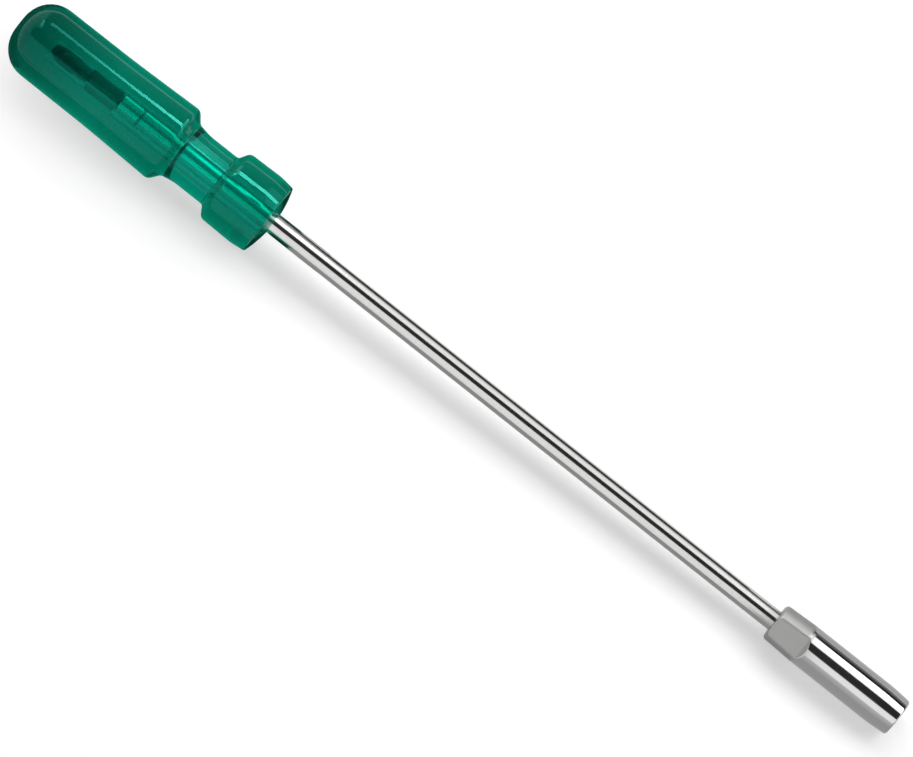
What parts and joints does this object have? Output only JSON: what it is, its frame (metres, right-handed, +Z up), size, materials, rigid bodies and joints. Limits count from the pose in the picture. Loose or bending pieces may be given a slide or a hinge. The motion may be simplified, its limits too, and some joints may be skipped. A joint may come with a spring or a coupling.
{
  "type": "reversible screwdriver",
  "caption": "Hand screwdriver: fluted translucent handle, double-ended blade that pulls out and turns round, and a push-on magnetic nut socket over the outer bit.",
  "frame": {"origin": "middle of the tool's length and width, on the ground under the handle's lowest land", "axes": "+X along the tool from the handle to the nut socket, +Z up"},
  "size_m": [0.3498, 0.0272, 0.027],
  "materials": {
    "green_acetate": "polished translucent green cellulose acetate",
    "chromed_bar": "bright chrome on turned steel",
    "blackened_steel": "blackened tool steel",
    "spring_steel": "bright spring wire",
    "chromed_socket": "satin-bright chrome on turned steel",
    "nickel_plating": "nickel-plated magnet"
  },
  "bodies": {
    "handle": {"handle": "green_acetate"},
    "blade": {"blade_bar": "chromed_bar", "cross_bit": "blackened_steel", "slotted_bit": "blackened_steel", "handle_end_ring": "spring_steel", "socket_end_ring": "spring_steel"},
    "socket": {"nut_socket": "chromed_socket", "socket_magnet": "nickel_plating"}
  },
  "joints": [
    {"name": "blade_slide", "type": "slide", "parent": "handle", "child": "blade", "axis": [1, 0, 0], "range_m": [0, 0.092]},
    {"name": "socket_slide", "type": "slide", "parent": "blade", "child": "socket", "axis": [1, 0, 0], "range_m": [0, 0.04]}
  ]
}
